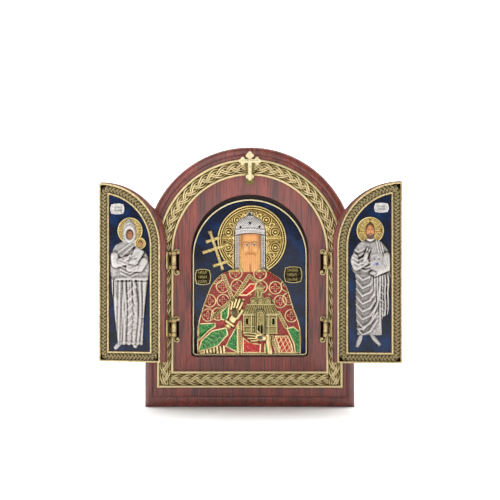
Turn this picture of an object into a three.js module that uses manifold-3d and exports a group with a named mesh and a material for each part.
// Table triptych: an arched wooden panel with a knotwork frame and an enamelled relief icon in a
// recess, closed by two arched doors on hinges and held shut by a cross-shaped turn button.
// Millimetres, +Z up, front towards -Y. "d" is the height above the wooden field inside the frame,
// counted towards the front. A door has its own x and d, counted from its hinge axis while open.
import * as THREE from "three";
import { mergeVertices } from "three/addons/utils/BufferGeometryUtils.js";
import Module from "manifold-3d";

const wasm = await Module();
wasm.setup();

// ---- driving dimensions ----
const GAP = 0.3; // left between pieces that touch
const ARCH_STEPS = 24; // facets of each half circle
const DOOR_STEPS = 10; // facets of a door's quarter arch
const FIELD_Y = -12; // the Y of d = 0
const PANEL = { radius: 60.5, archZ: 89.5, back: -25, face: 1.0, lowerScale: 1.2 };
const FRAME = { radius: 53.1, inner: 43.8, bottomZ: 11.6, top: 2.4, floor: 1.5, rim: 1.2 };
const FRAME_BAND = FRAME.radius - FRAME.inner;
const FRAME_INNER_Z = FRAME.bottomZ + FRAME_BAND;
const FRAME_BRAID = { strand: 18.2, amplitude: 1.85, width: 1.5, height: 0.75 };
const POCKET = { radius: 33.8, archZ: 88.6, bottomZ: 29.0, corner: 2.3, floor: -6.0 };
const ICON = { radius: 33.1, rim: 0.8, archZ: 86.7, bottomZ: 29.5, corner: 2.0, thick: 0.8 };
const ICON_FACE = POCKET.floor + GAP + ICON.thick;
const RELIEF = ICON_FACE + GAP; // d where the reliefs of the icon start
const HINGE = {
  x: 43.3, d: 6.2, barrel: 1.55, pin: 0.8, knuckle: 5.2, levels: { lower: 46.2, upper: 84.7 },
};
const DOOR = {
  edge: 6.5, width: 36.4, bottomZ: 26.7, archZ: 92.4, band: 6.0, rim: 0.95, metal: 1.2,
  board: 4.2, boardEdge: 3.85, boardRise: 37.3, enamel: 0.4,
};
const DOOR_FREE = DOOR.edge + DOOR.width; // from the hinge axis to the meeting edge
const DOOR_METAL = DOOR.board + GAP;
const DOOR_RELIEF = DOOR_METAL + DOOR.enamel + GAP;
const FOLD = { left: 12, right: -4 }; // degrees past flat at which each door rests
const LATCH = {
  z: 141.0, lift: 6.6, tongue: 0.8, thick: 1.2, post: 1.2, reach: [5.3, 6.2, 10.9, 6.2],
  half: 1.15, lobe: 1.15, tongueZ: 130.2, tongueHalf: 2.6,
};

const FINISH = {
  wood: { color: 0x8a4f42, roughness: 0.45, metalness: 0 },
  brass: { color: 0xb9a878, roughness: 0.35, metalness: 1 },
  paleBrass: { color: 0xdcc99a, roughness: 0.3, metalness: 1 },
  gold: { color: 0xd8bd6a, roughness: 0.3, metalness: 1 },
  silver: { color: 0xc9c4c0, roughness: 0.35, metalness: 1 },
  antique: { color: 0x8f8358, roughness: 0.4, metalness: 1 },
  navy: { color: 0x0a2347, roughness: 0.2, metalness: 0 },
  red: { color: 0xb01418, roughness: 0.25, metalness: 0 },
  paint: { color: 0xd9a066, roughness: 0.5, metalness: 0 },
};

// ---- closed solids ----
const solidOf = (geometry) => {
  const bare = geometry.clone();
  bare.deleteAttribute("normal");
  bare.deleteAttribute("uv");
  const merged = mergeVertices(bare, 1e-4);
  return new wasm.Manifold(new wasm.Mesh({
    numProp: 3,
    vertProperties: Float32Array.from(merged.attributes.position.array),
    triVerts: Uint32Array.from(merged.index.array),
  }));
};

const geometryOf = (solid) => {
  const mesh = solid.getMesh();
  const geometry = new THREE.BufferGeometry();
  geometry.setAttribute("position", new THREE.BufferAttribute(mesh.vertProperties, 3));
  geometry.setIndex(new THREE.BufferAttribute(mesh.triVerts, 1));
  return geometry;
};

const fuse = (...geometries) =>
  geometryOf(geometries.map(solidOf).reduce((whole, next) => whole.add(next)));

const cut = (geometry, ...tools) =>
  geometryOf(tools.map(solidOf).reduce((rest, tool) => rest.subtract(tool), solidOf(geometry)));

const keepInside = (geometry, limit) => geometryOf(solidOf(geometry).intersect(solidOf(limit)));

// A shape drawn in X and Z, from depth d0 to d1. Front plane: Y of d = 0.
const slab = (shape, d0, d1, planeY = FIELD_Y) => {
  const geometry = new THREE.ExtrudeGeometry(shape, {
    depth: d1 - d0, bevelEnabled: false, curveSegments: 3,
  });
  geometry.rotateX(Math.PI / 2);
  return geometry.translate(0, planeY - d0, 0);
};

const block = (x0, x1, d0, d1, z0, z1, planeY = FIELD_Y) =>
  new THREE.BoxGeometry(x1 - x0, d1 - d0, z1 - z0)
    .translate((x0 + x1) / 2, planeY - (d0 + d1) / 2, (z0 + z1) / 2);

// An upright cylinder, and one that points to the front.
const post = (x, y, radius, z0, z1, sides = 8) =>
  new THREE.CylinderGeometry(radius, radius, z1 - z0, sides)
    .rotateX(Math.PI / 2).translate(x, y, (z0 + z1) / 2);
const stud = (x, z, radius, d0, d1, planeY = FIELD_Y, sides = 8) =>
  new THREE.CylinderGeometry(radius, radius, d1 - d0, sides)
    .translate(x, planeY - (d0 + d1) / 2, z);

// Mirrors a geometry left to right and turns its faces round again.
const mirrored = (geometry) => {
  const flipped = (geometry.index ? geometry.toNonIndexed() : geometry.clone()).scale(-1, 1, 1);
  const position = flipped.attributes.position.array;
  for (let i = 0; i < position.length; i += 9) {
    for (let k = 0; k < 3; k += 1) {
      [position[i + 3 + k], position[i + 6 + k]] = [position[i + 6 + k], position[i + 3 + k]];
    }
  }
  return flipped;
};

// ---- outlines ----
const polygon = (points) => new THREE.Shape(points.map(([x, z]) => new THREE.Vector2(x, z)));

const arc = (x, z, radiusX, radiusZ, from, to, steps) =>
  Array.from({ length: steps + 1 }, (_, k) => {
    const angle = from + ((to - from) * k) / steps;
    return [x + radiusX * Math.cos(angle), z + radiusZ * Math.sin(angle)];
  });

const discShape = (x, z, radius, steps = 16) =>
  polygon(arc(x, z, radius, radius, 0, 2 * Math.PI, steps).slice(1));

// An arch on straight sides: radius, arch centre height, bottom height and rounded lower corners.
const archShape = (radius, archZ, bottomZ, corner = 0) => {
  const steps = corner > 0 ? 3 : 0;
  const quarter = (side, from) => (steps
    ? arc(side * (radius - corner), bottomZ + corner, corner, corner, from, from + Math.PI / 2, steps)
    : [[side * radius, bottomZ]]);
  return polygon([
    ...quarter(1, -Math.PI / 2),
    ...arc(0, archZ, radius, radius, 0, Math.PI, ARCH_STEPS),
    ...quarter(-1, Math.PI),
  ]);
};

const ringShape = (outer, inner) => {
  outer.holes.push(inner);
  return outer;
};

// The quarter arch of a door, moved in by an even margin on every side.
const doorShape = (margin) => {
  const left = DOOR.edge + margin;
  const right = DOOR_FREE - margin;
  const radius = DOOR.width - margin;
  const start = Math.acos(-margin / radius);
  return polygon([
    [left, DOOR.bottomZ + margin], [right, DOOR.bottomZ + margin],
    ...arc(DOOR_FREE, DOOR.archZ, radius, radius, start, Math.PI, DOOR_STEPS),
  ]);
};

const boardShape = () => {
  const width = DOOR_FREE - DOOR.boardEdge;
  return polygon([
    [DOOR.boardEdge, DOOR.bottomZ], [DOOR_FREE, DOOR.bottomZ],
    ...arc(DOOR_FREE, DOOR.archZ, width, DOOR.boardRise, Math.PI / 2, Math.PI, DOOR_STEPS),
  ]);
};

// A label plate: a rounded cartouche with its sides drawn in.
const cartoucheShape = (x, z, width, height) => {
  const [a, b, c] = [width / 2, height / 2, height * 0.3];
  const shape = new THREE.Shape();
  shape.moveTo(x - a + c, z - b);
  shape.lineTo(x + a - c, z - b);
  shape.quadraticCurveTo(x + a, z - b + c * 0.3, x + a, z);
  shape.quadraticCurveTo(x + a, z + b - c * 0.3, x + a - c, z + b);
  shape.lineTo(x - a + c, z + b);
  shape.quadraticCurveTo(x - a, z + b - c * 0.3, x - a, z);
  shape.quadraticCurveTo(x - a, z - b + c * 0.3, x - a + c, z - b);
  return shape;
};

// ---- reliefs ----
const smooth = (low, high, value) => {
  const t = Math.min(1, Math.max(0, (value - low) / (high - low)));
  return t * t * (3 - 2 * t);
};

// A soft line from one height to the next: pairs of [z, x], lowest first.
const through = (pairs) => (z) => {
  const last = pairs.length - 1;
  if (z <= pairs[0][0]) return pairs[0][1];
  if (z >= pairs[last][0]) return pairs[last][1];
  const i = pairs.findIndex(([height]) => height > z) - 1;
  const slope = (k) => {
    const [below, above] = [Math.max(0, k - 1), Math.min(last, k + 1)];
    return (pairs[above][1] - pairs[below][1]) / (pairs[above][0] - pairs[below][0]);
  };
  const span = pairs[i + 1][0] - pairs[i][0];
  const t = (z - pairs[i][0]) / span;
  const [t2, t3] = [t * t, t * t * t];
  return (2 * t3 - 3 * t2 + 1) * pairs[i][1] + (t3 - 2 * t2 + t) * span * slope(i)
    + (3 * t2 - 2 * t3) * pairs[i + 1][1] + (t3 - t2) * span * slope(i + 1);
};

const distanceToLine = (x, z, [x0, z0], [x1, z1]) => {
  const length = (x1 - x0) ** 2 + (z1 - z0) ** 2;
  const t = Math.min(1, Math.max(0, ((x - x0) * (x1 - x0) + (z - z0) * (z1 - z0)) / length));
  return Math.hypot(x - x0 - t * (x1 - x0), z - z0 - t * (z1 - z0));
};

// A round ridge along a limb, which falls to nothing at its radius.
const limb = (x, z, from, to, radius, height) =>
  height * Math.sqrt(Math.max(0, 1 - (distanceToLine(x, z, from, to) / radius) ** 2));

// A closed relief between two side lines, with a flat back at d = base and a modelled front.
const relief = ({ left, right, z0, z1, rows, columns, base, height, planeY = FIELD_Y }) => {
  const points = [];
  const faces = [];
  const wide = columns + 1;
  for (let i = 0; i <= rows; i += 1) {
    const z = z0 + ((z1 - z0) * i) / rows;
    for (let j = 0; j <= columns; j += 1) {
      const x = left(z) + ((right(z) - left(z)) * j) / columns;
      points.push([x, planeY - base - Math.max(0.25, height(x, z, (2 * j) / columns - 1)), z]);
    }
  }
  const back = points.length;
  for (let i = 0; i <= rows; i += 1) {
    const z = z0 + ((z1 - z0) * i) / rows;
    points.push([left(z), planeY - base, z], [right(z), planeY - base, z]);
  }
  const at = (i, j) => i * wide + j;
  for (let i = 0; i < rows; i += 1) {
    for (let j = 0; j < columns; j += 1) {
      faces.push([at(i, j), at(i, j + 1), at(i + 1, j + 1)], [at(i, j), at(i + 1, j + 1), at(i + 1, j)]);
    }
    const [bl, br, tl, tr] = [back + 2 * i, back + 2 * i + 1, back + 2 * i + 2, back + 2 * i + 3];
    faces.push([bl, tr, br], [bl, tl, tr]);
    faces.push([bl, at(i, 0), at(i + 1, 0)], [bl, at(i + 1, 0), tl]);
    faces.push([br, at(i + 1, columns), at(i, columns)], [br, tr, at(i + 1, columns)]);
  }
  for (const [row, end, turn] of [[0, back, 1], [rows, back + 2 * rows, -1]]) {
    for (let j = 0; j < columns; j += 1) {
      const face = [end, at(row, j + 1), at(row, j)];
      faces.push(turn > 0 ? face : face.reverse());
    }
    const side = [end, end + 1, at(row, columns)];
    faces.push(turn > 0 ? side : side.reverse());
  }
  const geometry = new THREE.BufferGeometry();
  geometry.setAttribute("position", new THREE.Float32BufferAttribute(points.flat(), 3));
  geometry.setIndex(faces.flat());
  return geometry;
};

// The plan of a relief above a height, widened on both sides.
const reliefOutline = ({ left, right, z0, z1, rows }, lowest, grow) => {
  const levels = Array.from({ length: rows + 1 }, (_, i) => z0 + ((z1 - z0) * i) / rows)
    .filter((z) => z > lowest);
  levels.push(z1 + grow);
  return polygon([
    ...levels.map((z) => [right(z) + grow, z]),
    ...levels.map((z) => [left(z) - grow, z]).reverse(),
  ]);
};

// ---- the wooden panel ----
// Its front edge from the side inwards: [distance from the side, d], a round over a hollow.
const MOULDING_PROFILE = [
  [0, -2.6], [0.3, -1.5], [1.1, -0.6], [2.4, -0.05], [4.6, 0.1], [5.4, 0.5], [5.6, 1.0],
];

const panelRing = (inset, d, steps = ARCH_STEPS) => {
  const radius = PANEL.radius - inset;
  const y = FIELD_Y - d;
  const bottom = PANEL.lowerScale * inset;
  const ring = [[-radius, y, bottom], [radius, y, bottom]];
  for (let i = 0; i <= steps; i += 1) {
    const angle = (Math.PI * i) / steps;
    ring.push([radius * Math.cos(angle), y, PANEL.archZ + radius * Math.sin(angle)]);
  }
  return ring;
};

const makePanel = () => {
  const rings = [
    panelRing(0.6, PANEL.back), panelRing(0, PANEL.back + 0.6),
    ...MOULDING_PROFILE.map(([inset, d]) => panelRing(inset, d)),
  ];
  const around = rings[0].length;
  const faces = [];
  for (let r = 0; r + 1 < rings.length; r += 1) {
    for (let k = 0; k < around; k += 1) {
      const [a, b] = [r * around + k, r * around + ((k + 1) % around)];
      faces.push([a, a + around, b], [b, a + around, b + around]);
    }
  }
  const last = (rings.length - 1) * around;
  for (let k = 1; k + 1 < around; k += 1) {
    faces.push([0, k, k + 1], [last, last + k + 1, last + k]);
  }
  const body = new THREE.BufferGeometry();
  body.setAttribute("position", new THREE.Float32BufferAttribute(rings.flat(2), 3));
  body.setIndex(faces.flat().reverse());
  const field = archShape(FRAME.radius + GAP, PANEL.archZ, FRAME.bottomZ - GAP);
  const pocket = archShape(POCKET.radius, POCKET.archZ, POCKET.bottomZ, POCKET.corner);
  return cut(body, slab(field, 0, 3), slab(pocket, POCKET.floor, 3));
};

// ---- braided bands ----
// The middle line of the frame's band from the lower corner over the crown, for x >= 0.
const frameLine = (s) => {
  const radius = FRAME.radius - FRAME_BAND / 2;
  const straight = PANEL.archZ - FRAME_INNER_Z;
  if (s < straight) return { x: radius, z: FRAME_INNER_Z + s, nx: 1, nz: 0 };
  const angle = (s - straight) / radius;
  const [nx, nz] = [Math.cos(angle), Math.sin(angle)];
  return { x: radius * nx, z: PANEL.archZ + radius * nz, nx, nz };
};
const bottomLine = (s) => ({ x: s - FRAME.inner, z: FRAME.bottomZ + FRAME_BAND / 2, nx: 0, nz: 1 });

// One visible length of a strand: a low ridge, pointed where it dives under the others.
const strandRidge = (line, s0, s1, wave) => {
  const { amplitude, width, height } = FRAME_BRAID;
  const lift = (s, side, up) => {
    const { x, z, nx, nz } = line(s);
    const across = amplitude * wave(s) + side * (width / 2);
    return [x + nx * across, FIELD_Y - FRAME.floor + 0.1 - up, z + nz * across];
  };
  const middle = (s0 + s1) / 2;
  const points = [
    lift(s0, 0, 0), lift(middle, -1, 0), lift(s1, 0, 0), lift(middle, 1, 0), lift(middle, 0, height),
  ];
  const faces = [[0, 1, 4], [1, 2, 4], [2, 3, 4], [3, 0, 4], [0, 2, 1], [0, 3, 2]];
  const geometry = new THREE.BufferGeometry();
  geometry.setAttribute("position", new THREE.Float32BufferAttribute(points.flat(), 3));
  geometry.setIndex(faces.flat());
  if (solidOf(geometry).volume() < 0) geometry.setIndex(faces.flat().reverse());
  return geometry;
};

const braid = (line, length) => {
  const period = FRAME_BRAID.strand;
  const ridges = [];
  for (let strand = 0; strand < 3; strand += 1) {
    for (let turn = -1; turn * period < length; turn += 1) {
      for (const [from, to] of [[-15, 135], [165, 315]]) {
        const start = (turn + from / 360 + strand / 3) * period;
        const end = (turn + to / 360 + strand / 3) * period;
        if (start < 0.4 || end > length - 0.4) continue;
        const wave = (s) => Math.sin(2 * Math.PI * (s / period - strand / 3));
        ridges.push(strandRidge(line, start, end, wave));
      }
    }
  }
  return ridges;
};

const makeFrame = () => {
  const outline = (margin, hole) => ringShape(
    archShape(FRAME.radius - margin, PANEL.archZ, FRAME.bottomZ + margin),
    archShape(FRAME.radius - hole, PANEL.archZ, FRAME.bottomZ + hole),
  );
  const side = braid(frameLine, PANEL.archZ - FRAME_INNER_Z
    + (FRAME.radius - FRAME_BAND / 2) * (Math.PI / 2) - 5);
  return fuse(
    slab(outline(0, FRAME_BAND), GAP, FRAME.floor),
    slab(outline(0, FRAME.rim), GAP, FRAME.top),
    slab(outline(FRAME_BAND - FRAME.rim, FRAME_BAND), GAP, FRAME.top),
    ...side,
    ...side.map(mirrored),
    ...braid(bottomLine, 2 * FRAME.inner),
  );
};

// ---- the icon ----
const HALO = { x: 1.2, z: 96.4, radius: 20.1, height: 0.9, bosses: 10 };
const HEAD = { x: 0.4, brimZ: 99.2, beardZ: 77.9, browZ: 98.8 };
const CAP = { x: 0.15, half: 8.8, topZ: 110.4, height: 3.1, pendantZ: 79.0, pendant: 2.7 };

const faceSides = through([[77.7, 2.6], [79.0, 4.6], [82, 5.4], [90, 5.7], [98.9, 5.7]]);
const makeFace = () => relief({
  left: (z) => HEAD.x - faceSides(z),
  right: (z) => HEAD.x + faceSides(z),
  z0: HEAD.beardZ,
  z1: HEAD.browZ,
  rows: 10,
  columns: 6,
  base: RELIEF,
  height: (x, z, u) => 1.0 + 1.1 * Math.sqrt(1 - 0.95 * u * u)
    + limb(x, z, [HEAD.x, 97], [HEAD.x, 92], 0.9, 0.55)
    + 0.3 * smooth(90, 88, z) * Math.cos((x - HEAD.x) * 1.9),
});

const capSides = through([
  [CAP.pendantZ + 20, 8.7], [101.5, 8.8], [104.5, 8.3], [107.5, 6.5], [109.5, 4.0], [110.4, 1.8],
]);
const makeCap = () => {
  const dome = relief({
    left: (z) => CAP.x - capSides(z),
    right: (z) => CAP.x + capSides(z),
    z0: HEAD.brimZ,
    z1: CAP.topZ,
    rows: 7,
    columns: 10,
    base: RELIEF,
    height: (x, z, u) => 0.8 + (CAP.height - 0.8) * Math.sqrt(1 - 0.97 * u * u)
      * (1 - 0.5 * smooth(105, 111, z)) + 0.25 * (z < 101.5 ? 1 : 0),
  });
  const pendants = [-1, 1].map((side) => {
    const centre = CAP.x + side * (CAP.half - CAP.pendant / 2 + 0.1);
    return [
      block(centre - CAP.pendant / 2, centre + CAP.pendant / 2, RELIEF, RELIEF + 1.7, CAP.pendantZ, 99.6),
      stud(centre, CAP.pendantZ + 0.3, 1.5, RELIEF, RELIEF + 1.9),
    ];
  });
  const jewel = stud(CAP.x - 0.2, 111.4, 1.2, RELIEF, RELIEF + 1.6);
  const whole = fuse(dome, ...pendants.flat(), jewel);
  return keepInside(whole, block(-20, 20, RELIEF, RELIEF + 6, 60, 130));
};

// The plan of the head, cap and pendants, widened on every side.
const headClearance = (grow) => {
  const low = CAP.pendantZ - 1.4 - grow;
  const high = 112.6 + grow;
  const sides = [
    [CAP.half, low], [CAP.half + 0.15, 101.5], [8.3, 104.7], [6.4, 107.8], [3.8, 110], [1.75, high],
  ];
  return polygon([
    ...sides.map(([half, z]) => [CAP.x + half + grow, z]),
    ...sides.map(([half, z]) => [CAP.x - half - grow, z]).reverse(),
  ]);
};

const CROSS = {
  x: -19.4, z: 90.4, tilt: 0.32, top: 11.6, foot: -12.2, half: 0.9, back: RELIEF + 1.5, height: 1.0,
};
const CROSS_BARS = [[6.3, 4.2], [1.0, 8.0], [-8.2, 4.6]]; // height on the shaft and half length
const crossPieces = (grow, d0, d1) => {
  const bar = (u, v, halfU, halfV) => {
    const [wide, tall] = [halfU + grow, halfV + grow];
    return block(u - wide, u + wide, d0, d1, v - tall, v + tall, 0)
      .rotateY(-CROSS.tilt).translate(CROSS.x, FIELD_Y, CROSS.z);
  };
  return [
    bar(0, (CROSS.top + CROSS.foot) / 2, CROSS.half, (CROSS.top - CROSS.foot) / 2),
    ...CROSS_BARS.map(([v, half]) => bar(0, v, half, CROSS.half)),
    bar(0, CROSS.top, CROSS.half * 1.6, 0.5),
  ];
};

const makeHalo = () => {
  const disc = (radius, top) => slab(discShape(HALO.x, HALO.z, radius, 22), RELIEF, RELIEF + top);
  const ring = (outer, inner, top) => slab(
    ringShape(discShape(HALO.x, HALO.z, outer, 22), discShape(HALO.x, HALO.z, inner, 22)),
    RELIEF + 0.1, RELIEF + top,
  );
  const bosses = Array.from({ length: HALO.bosses }, (_, k) => {
    const angle = (2 * Math.PI * (k + 0.5)) / HALO.bosses;
    const reach = HALO.radius * 0.71;
    return stud(HALO.x + reach * Math.cos(angle), HALO.z + reach * Math.sin(angle), 1.9,
      RELIEF + 0.1, RELIEF + 1.15, FIELD_Y, 6);
  });
  const whole = fuse(
    disc(HALO.radius, HALO.height - 0.2), ring(HALO.radius, HALO.radius - 0.8, HALO.height + 0.3),
    ring(HALO.radius - 1.6, HALO.radius - 2.2, HALO.height), ...bosses,
  );
  return cut(
    whole,
    slab(headClearance(GAP), RELIEF - 1, RELIEF + 4),
    slab(robeOutline(1.5 * GAP), RELIEF - 1, RELIEF + 4),
  );
};

// The robe from the lower edge of the icon to the collar.
const robeLeft = through([
  [30.6, -30.4], [46.6, -30.0], [55.7, -27.7], [65, -24.4], [71.3, -21.3], [77, -15.8], [79.2, -11],
]);
const robeRight = through([
  [30.6, 29.4], [42.9, 29.4], [50.2, 27.8], [57.2, 25.1], [67.9, 21.8], [73.1, 18.4], [77, 13.2], [79.2, 10],
]);
const ROBE = { left: robeLeft, right: robeRight, z0: 30.6, z1: 79.2, rows: 16, columns: 16 };
const robeOutline = (grow) => reliefOutline(ROBE, 60, grow);

const robeHeight = (x, z, u) => {
  const body = 1.0 + 1.0 * (1 - u ** 4);
  const folds = 0.22 * smooth(44, 36, z) * Math.cos(x * 1.5);
  const hem = 0.3 * (1 - smooth(0.5, 1.2, Math.min(
    distanceToLine(x, z, [-5.6, 30], [-5.6, 48]), distanceToLine(x, z, [-24, 56], [-6, 66]),
    distanceToLine(x, z, [-6, 66], [1, 76]), distanceToLine(x, z, [14, 30], [16.5, 42]),
  )));
  const sleeve = limb(x, z, [-26, 35], [-15, 44], 6.5, 0.9);
  const forearm = limb(x, z, [-17, 50], [-11, 58], 4.2, 0.9);
  const raisedHand = limb(x, z, [-9.5, 52], [-5.5, 60], 2.6, 1.0);
  const lowerHand = limb(x, z, [-2.5, 41], [9, 38.5], 2.2, 1.2);
  return body + folds + hem + Math.max(sleeve, forearm, raisedHand, lowerHand);
};

const CHURCH = { x: 6.0, wallLeft: -3.8, wallRight: 15.9, floorZ: 42.0, eavesZ: 53.6, height: 3.1 };
const CHURCH_BACK = RELIEF + 1.0;
// Walls, roof, upper storey, drum, dome and spire, then the four small domes on their drums.
const churchParts = () => {
  const raise = (points, below) => slab(polygon(points), CHURCH_BACK, RELIEF + CHURCH.height - below);
  const upright = (x0, x1, z0, z1, below) => raise([[x0, z0], [x1, z0], [x1, z1], [x0, z1]], below);
  const dome = (x, z, radius, steps) => arc(x, z, radius, radius, 0, 2 * Math.PI, steps).slice(1);
  return [
    upright(CHURCH.wallLeft, CHURCH.wallRight, CHURCH.floorZ, CHURCH.eavesZ + 0.1, 0.5),
    raise([[-4.7, 53.4], [16.8, 53.4], [13.6, 59.2], [-1.5, 59.2]], 0.2),
    upright(0, 12.5, 59, 63.4, 0.7),
    upright(3.3, 8.0, 63, 68, 0.5),
    raise(dome(5.65, 68, 2.7, 10), 0.4),
    raise([[5.0, 70], [6.3, 70], [5.65, 72.6]], 0.9),
    ...[[0.6, 64.6], [10.7, 64.6], [-2.1, 60.6], [13.4, 60.6]].flatMap(([x, z]) => [
      raise(dome(x, z, 1.35, 8), 0.9), upright(x - 0.9, x + 0.9, z - 3, z, 1.0),
    ]),
  ];
};
const churchClearance = () => slab(polygon([
  [-5.1, 41.6], [17.2, 41.6], [17.2, 53.5], [15.3, 60], [15.4, 62], [12.4, 66.4], [8.9, 67.2], [8.6, 69.6],
  [6.8, 73.1], [4.5, 73.1], [2.7, 69.6], [2.4, 67.2], [-1, 66.4], [-4.1, 62], [-4, 60], [-5.1, 54],
]), CHURCH_BACK - GAP, RELIEF + 6);
const makeChurch = () => fuse(
  ...churchParts(),
  slab(discShape(CHURCH.x, 53.4, 3.0, 12), RELIEF + 2, RELIEF + CHURCH.height),
  block(CHURCH.x - 3.0, CHURCH.x + 3.0, RELIEF + 2, RELIEF + CHURCH.height, 42, 53.4),
);

const makeRobe = () => cut(
  relief({ ...ROBE, base: RELIEF, height: robeHeight }),
  slab(headClearance(GAP), RELIEF - 1, RELIEF + 5),
  ...crossPieces(GAP, CROSS.back - GAP, RELIEF + 5),
  churchClearance(),
);

const makeHandCross = () => fuse(...crossPieces(0, CROSS.back, CROSS.back + CROSS.height));

const labelPlate = (x, z, width, height, d0, planeY) =>
  slab(cartoucheShape(x, z, width, height), d0, d0 + 0.8, planeY);

// ---- hinges ----
const hingeY = FIELD_Y - HINGE.d;
// The leaf fixed beside the frame, with the middle knuckle, for the side x > 0.
const makeFixedLeaf = (z) => {
  const half = HINGE.knuckle / 2;
  const plate = block(39.9, 43.5, GAP, 1.3, z - 6.8, z + 4.4);
  const lobes = [[z + 4.4, 1.55], [z - 6.8, 1.75]]
    .map(([lobeZ, radius]) => stud(41.7, lobeZ, radius, GAP, 1.3));
  const nails = [z + 4.5, z - 6.9].map((nailZ) => stud(41.7, nailZ, 0.7, 1.2, 1.7, FIELD_Y, 6));
  const web = block(42.6, 43.5, GAP, HINGE.d - 0.4, z - half, z + half);
  const knuckle = post(HINGE.x, hingeY, HINGE.barrel, z - half, z + half);
  const bore = post(HINGE.x, hingeY, HINGE.pin + 0.15, z - half - 1, z + half + 1);
  return cut(fuse(plate, ...lobes, ...nails, web, knuckle), bore);
};

// The leaf that turns with the door, in the door's own x and d: two arms, the pin and a plate.
const makeDoorLeaf = (z) => {
  const half = HINGE.knuckle / 2;
  const reach = DOOR.boardEdge - GAP;
  const arms = [[z + half + GAP, 2.0], [z - half - GAP - 2.3, 2.3]].flatMap(([low, tall]) => [
    post(0, 0, HINGE.barrel, low, low + tall),
    block(0, reach, -HINGE.barrel, 0.6, low + 0.3, low + tall - 0.3, 0),
  ]);
  const low = z - half - GAP - 2.3;
  const high = z + half + GAP + 2.0;
  const plate = block(reach - 0.9, reach, -HINGE.barrel, DOOR.board - 0.4, low + 0.3, high - 0.3, 0);
  const notch = post(0, 0, HINGE.barrel + 0.35, z - half - GAP, z + half + GAP);
  return cut(fuse(cut(plate, notch), ...arms, post(0, 0, HINGE.pin, low - 0.5, high + 0.5, 8)));
};

// ---- doors ----
const makeBoard = () => slab(boardShape(), 0, DOOR.board, 0);

// Small raised lozenges down the middle of each length of a door's band stand for its plait.
const doorLozenges = () => {
  const pitch = 6.4;
  const middle = DOOR.band / 2;
  const radius = DOOR.width - middle;
  const corner = Math.acos(-middle / radius);
  const arcLength = radius * (Math.PI - corner);
  const spots = [];
  const run = (x0, z0, x1, z1) => {
    const length = Math.hypot(x1 - x0, z1 - z0);
    const count = Math.floor(length / pitch);
    for (let k = 0; k < count; k += 1) {
      const t = (k + 0.5) / count;
      spots.push([x0 + (x1 - x0) * t, z0 + (z1 - z0) * t, Math.atan2(z1 - z0, x1 - x0)]);
    }
  };
  const low = DOOR.bottomZ + middle;
  run(DOOR.edge + middle, low, DOOR_FREE - middle, low);
  run(DOOR_FREE - middle, low, DOOR_FREE - middle, DOOR.archZ + radius * Math.sin(corner));
  run(DOOR.edge + middle, DOOR.archZ, DOOR.edge + middle, low);
  const count = Math.floor(arcLength / pitch);
  for (let k = 0; k < count; k += 1) {
    const angle = corner + ((Math.PI - corner) * (k + 0.5)) / count;
    const [x, z] = [DOOR_FREE + radius * Math.cos(angle), DOOR.archZ + radius * Math.sin(angle)];
    spots.push([x, z, angle + Math.PI / 2]);
  }
  return spots.map(([x, z, angle]) => new THREE.ConeGeometry(1, 0.5, 4)
    .scale(pitch * 0.42, 1, DOOR.band / 2 - DOOR.rim - 0.25)
    .rotateX(Math.PI).rotateY(-angle)
    .translate(x, -(DOOR_METAL + 0.7 + 0.2), z));
};

const makeDoorFrame = () => {
  const ring = (from, to, d1) => slab(ringShape(doorShape(from), doorShape(to)), DOOR_METAL, d1, 0);
  const top = DOOR_METAL + DOOR.metal;
  return fuse(
    ring(0, DOOR.band, DOOR_METAL + 0.7), ring(0, DOOR.rim, top), ring(DOOR.band - DOOR.rim, DOOR.band, top),
    ...doorLozenges(),
  );
};

const makeEnamel = () => slab(doorShape(DOOR.band + GAP), DOOR_METAL, DOOR_METAL + DOOR.enamel, 0);

const figureHalo = (x, z, radius, clear) => cut(
  fuse(
    slab(discShape(x, z, radius, 16), DOOR_RELIEF, DOOR_RELIEF + 0.5, 0),
    slab(ringShape(discShape(x, z, radius, 16), discShape(x, z, radius - 0.7, 16)),
      DOOR_RELIEF, DOOR_RELIEF + 0.75, 0),
  ),
  ...clear,
);

const figureFace = (x, z, halfWidth, halfHeight, height) => keepInside(
  new THREE.SphereGeometry(1, 10, 8).scale(halfWidth, height, halfHeight).translate(x, -DOOR_RELIEF, z),
  block(x - 9, x + 9, DOOR_RELIEF, DOOR_RELIEF + 6, z - 9, z + 9, 0),
);
const oval = (x, z, halfWidth, halfHeight) =>
  polygon(arc(x, z, halfWidth, halfHeight, 0, 2 * Math.PI, 12).slice(1));
const clearing = (shape) => slab(shape, DOOR_RELIEF - 1, DOOR_RELIEF + 5, 0);

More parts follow.
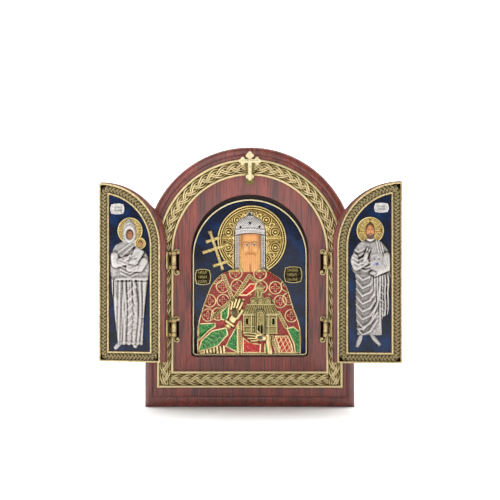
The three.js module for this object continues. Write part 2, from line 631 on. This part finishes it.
// Mother and child. Door x grows away from the hinge.
const MOTHER = {
  halo: [24.2, 101.6, 7.45], childHalo: [18.0, 94.3, 3.3], face: [24.2, 99.4, 2.15, 2.9],
};
const motherNear = through([
  [36.6, 16.5], [54, 15.8], [70, 14.0], [83, 12.9], [89.5, 15.2],
  [92, 19.2], [96, 20.6], [101, 20.4], [105, 21.6], [107.9, 24.0],
]);
const motherFar = through([
  [36.6, 31.2], [56, 33.4], [70, 34.8], [85, 35.9], [93, 33.0],
  [95.5, 28.8], [101, 28.5], [105, 27.4], [107.9, 25.6],
]);
const MOTHER_BODY = { left: motherNear, right: motherFar, z0: 36.6, z1: 107.9, rows: 17, columns: 6 };
const motherHeight = (x, z, u) => {
  const below = smooth(75, 72, z);
  const body = 0.45 + 0.95 * Math.sqrt(1 - 0.96 * u * u);
  const pleats = 0.2 * below * Math.cos((x - 24) * 2.1 + (z - 60) * 0.02);
  const swags = 0.16 * below * smooth(25, 28, x) * Math.cos(Math.hypot(x - 30, (z - 78) * 0.6) * 2.2);
  const arms = Math.max(
    limb(x, z, [33, 84], [25, 82], 3.0, 0.6), limb(x, z, [16, 84], [24, 79.5], 2.8, 0.5),
    limb(x, z, [17.5, 91], [22, 84], 3.0, 0.8),
  );
  return body + pleats + swags + arms + 0.2 * Math.exp(-(((z - 74.2) / 1.0) ** 2));
};
const foot = (x0, z0, x1, z1) => {
  const length = Math.hypot(x1 - x0, z1 - z0);
  const angle = Math.atan2(z1 - z0, x1 - x0);
  return keepInside(
    new THREE.SphereGeometry(1, 10, 6).scale(length / 2, 1.1, 1.7).rotateY(-angle)
      .translate((x0 + x1) / 2, -DOOR_RELIEF, (z0 + z1) / 2),
    block(x0 - 12, x0 + 12, DOOR_RELIEF, DOOR_RELIEF + 6, z0 - 12, z0 + 12, 0),
  );
};
const makeMother = () => cut(
  fuse(
    relief({ ...MOTHER_BODY, base: DOOR_RELIEF, height: motherHeight, planeY: 0 }),
    foot(33.6, 33.9, 30.0, 37.6), foot(21.6, 34.6, 20.4, 38),
  ),
  clearing(oval(...MOTHER.face.slice(0, 2), MOTHER.face[2] + GAP, MOTHER.face[3] + GAP)),
);
const motherOutline = (grow) => reliefOutline(MOTHER_BODY, 80, grow);

// The blessing figure with a closed book.
const TEACHER = { halo: [24.9, 101.5, 7.7], head: [24.9, 101.3, 2.7, 5.0], book: [25.0, 32.0, 79.4, 88.6] };
const BOOK_THICKNESS = 1.9;
const teacherNear = through([
  [42.7, 17.7], [57.6, 16.8], [76, 16.6], [80, 14.4], [84, 13.6], [90, 15.8], [94.4, 18.8], [96.6, 22.4],
]);
const teacherFar = through([
  [42.7, 31.4], [52.5, 31.8], [54.5, 34.6], [70, 35.8],
  [80.1, 36.3], [89.4, 35.3], [95.1, 31.0], [96.6, 28.0],
]);
const TEACHER_BODY = { left: teacherNear, right: teacherFar, z0: 42.7, z1: 96.6, rows: 15, columns: 6 };
const teacherHeight = (x, z, u) => {
  const below = smooth(78, 74, z);
  const body = 0.45 + 0.95 * Math.sqrt(1 - 0.96 * u * u);
  const swags = 0.2 * below * smooth(27, 23, x + (z - 58) * 0.25)
    * Math.cos(Math.hypot(x - 24, (z - 80) * 0.7) * 1.9);
  const pleats = 0.2 * below * smooth(24, 27, x) * Math.cos(x * 2.6);
  const arms = Math.max(
    limb(x, z, [16, 83], [22.5, 80], 3.0, 0.6), limb(x, z, [20, 82], [22.8, 89], 2.0, 0.8),
    limb(x, z, [34.5, 84], [27, 77.8], 2.6, 0.7),
  );
  const stole = 0.25 * Math.exp(-((distanceToLine(x, z, [30, 95], [31, 80]) / 1.5) ** 2));
  return body + swags + pleats + arms + stole;
};
const makeTeacher = () => {
  const [bookX0, bookX1, bookZ0, bookZ1] = TEACHER.book;
  return cut(
    fuse(
      relief({ ...TEACHER_BODY, base: DOOR_RELIEF, height: teacherHeight, planeY: 0 }),
      foot(17.4, 35.6, 20.2, 43.6), foot(30.6, 36.6, 25.0, 43.4),
      block(bookX0, bookX1, DOOR_RELIEF, DOOR_RELIEF + BOOK_THICKNESS, bookZ0, bookZ1, 0),
    ),
    clearing(oval(...TEACHER.head.slice(0, 2), TEACHER.head[2] + GAP, TEACHER.head[3] + GAP)),
  );
};
const teacherOutline = (grow) => reliefOutline(TEACHER_BODY, 84, grow);

// ---- the turn button ----
// One arm with a three-lobed end, from the crossing out to its reach, turned by quarters.
const latchArm = (reach, quarter, d0, d1) => {
  const { half, lobe } = LATCH;
  const [degree, tip] = [Math.PI / 180, reach - 1.9 * lobe];
  const outline = [
    [half, 0], [half, tip - lobe],
    ...arc(lobe, tip, lobe, lobe, -60 * degree, 90 * degree, 3),
    ...arc(0, tip + lobe, lobe, lobe, 0, 180 * degree, 4),
    ...arc(-lobe, tip, lobe, lobe, 90 * degree, 240 * degree, 3),
    [-half, tip - lobe], [-half, 0],
  ];
  const turn = quarter * (Math.PI / 2);
  return slab(polygon(outline.map(([u, v]) => [
    u * Math.cos(turn) - v * Math.sin(turn), LATCH.z + u * Math.sin(turn) + v * Math.cos(turn),
  ])), d0, d1);
};

const makeLatch = () => {
  const d0 = LATCH.lift + LATCH.tongue;
  const d1 = d0 + LATCH.thick;
  return fuse(
    stud(0, LATCH.z, LATCH.post, FRAME.top + GAP, d1 - 0.1),
    block(-LATCH.tongueHalf, LATCH.tongueHalf, LATCH.lift, d0 + 0.1, LATCH.tongueZ, LATCH.z),
    slab(discShape(0, LATCH.tongueZ, LATCH.tongueHalf, 12), LATCH.lift, d0 + 0.1),
    ...LATCH.reach.map((reach, quarter) => latchArm(reach, quarter, d0, d1)),
  );
};

// ---- assembly ----
const triptych = new THREE.Group();

const addPiece = (group, name, geometry, finish) => {
  const mesh = new THREE.Mesh(geometry, new THREE.MeshStandardMaterial(FINISH[finish]));
  mesh.name = name;
  group.add(mesh);
};

const iconRim = () => slab(ringShape(
  archShape(ICON.radius, ICON.archZ, ICON.bottomZ, ICON.corner),
  archShape(ICON.radius - ICON.rim, ICON.archZ, ICON.bottomZ + ICON.rim, ICON.corner - ICON.rim),
), POCKET.floor + GAP, ICON_FACE + 0.5);
const iconPlate = () => {
  const inset = ICON.rim + GAP;
  return slab(archShape(ICON.radius - inset, ICON.archZ, ICON.bottomZ + inset, ICON.corner - inset),
    POCKET.floor + GAP, ICON_FACE);
};

addPiece(triptych, "wood_panel", makePanel(), "wood");
addPiece(triptych, "knotwork_frame", makeFrame(), "brass");
addPiece(triptych, "icon_enamel", iconPlate(), "navy");
addPiece(triptych, "icon_rim", iconRim(), "brass");
addPiece(triptych, "saint_halo", makeHalo(), "gold");
addPiece(triptych, "saint_robe", makeRobe(), "red");
addPiece(triptych, "saint_face", makeFace(), "paint");
addPiece(triptych, "saint_cap", makeCap(), "silver");
addPiece(triptych, "hand_cross", makeHandCross(), "gold");
addPiece(triptych, "church_model", makeChurch(), "antique");
addPiece(triptych, "icon_label_left", labelPlate(-27.1, 74.9, 9.2, 9.4, RELIEF), "antique");
addPiece(triptych, "icon_label_right", labelPlate(25.0, 76.2, 10.6, 9.6, RELIEF), "antique");

const doorPieces = {
  left: (group, place) => {
    const [haloX, haloZ, haloRadius] = MOTHER.halo;
    const [childX, childZ, childRadius] = MOTHER.childHalo;
    const child = slab(discShape(childX, childZ, childRadius, 12), DOOR_RELIEF, DOOR_RELIEF + 0.9, 0);
    const childClear = clearing(discShape(childX, childZ, childRadius + GAP));
    addPiece(group, "mother_halo", place(figureHalo(haloX, haloZ, haloRadius,
      [clearing(motherOutline(1.5 * GAP)), childClear])), "gold");
    addPiece(group, "mother_figure", place(cut(makeMother(), childClear)), "silver");
    addPiece(group, "mother_face", place(figureFace(...MOTHER.face, 1.0)), "paint");
    addPiece(group, "child_head", place(fuse(child,
      figureFace(childX, childZ, 1.7, 1.9, 1.5))), "gold");
    addPiece(group, "label_left", place(labelPlate(31.7, 113.9, 8.4, 6.2, DOOR_RELIEF, 0)), "silver");
  },
  right: (group, place) => {
    const [haloX, haloZ, haloRadius] = TEACHER.halo;
    const [headX, headZ, headHalf, headTall] = TEACHER.head;
    const headClear = clearing(oval(headX, headZ, headHalf + GAP, headTall + GAP));
    addPiece(group, "teacher_halo", place(figureHalo(haloX, haloZ, haloRadius,
      [clearing(teacherOutline(1.5 * GAP)), headClear])), "gold");
    addPiece(group, "teacher_figure", place(makeTeacher()), "silver");
    addPiece(group, "teacher_head", place(figureFace(headX, headZ, headHalf, headTall, 1.5)), "paint");
    addPiece(group, "label_right", place(labelPlate(31.2, 114.3, 8.2, 5.6, DOOR_RELIEF, 0)), "silver");
  },
};

for (const [side, sign] of [["left", -1], ["right", 1]]) {
  const place = (geometry) => (sign < 0 ? mirrored(geometry) : geometry);
  const door = new THREE.Group();
  door.position.set(sign * HINGE.x, hingeY, 0);
  door.rotation.z = sign * THREE.MathUtils.degToRad(FOLD[side]);
  addPiece(door, `door_board_${side}`, place(makeBoard()), "wood");
  addPiece(door, `door_frame_${side}`, place(makeDoorFrame()), "brass");
  addPiece(door, `door_enamel_${side}`, place(makeEnamel()), "navy");
  doorPieces[side](door, place);
  for (const [level, z] of Object.entries(HINGE.levels)) {
    addPiece(triptych, `hinge_fixed_${side}_${level}`, place(makeFixedLeaf(z)), "brass");
    addPiece(door, `hinge_door_${side}_${level}`, place(makeDoorLeaf(z)), "brass");
  }
  triptych.add(door);
}
addPiece(triptych, "latch_cross", makeLatch(), "paleBrass");

export default triptych;
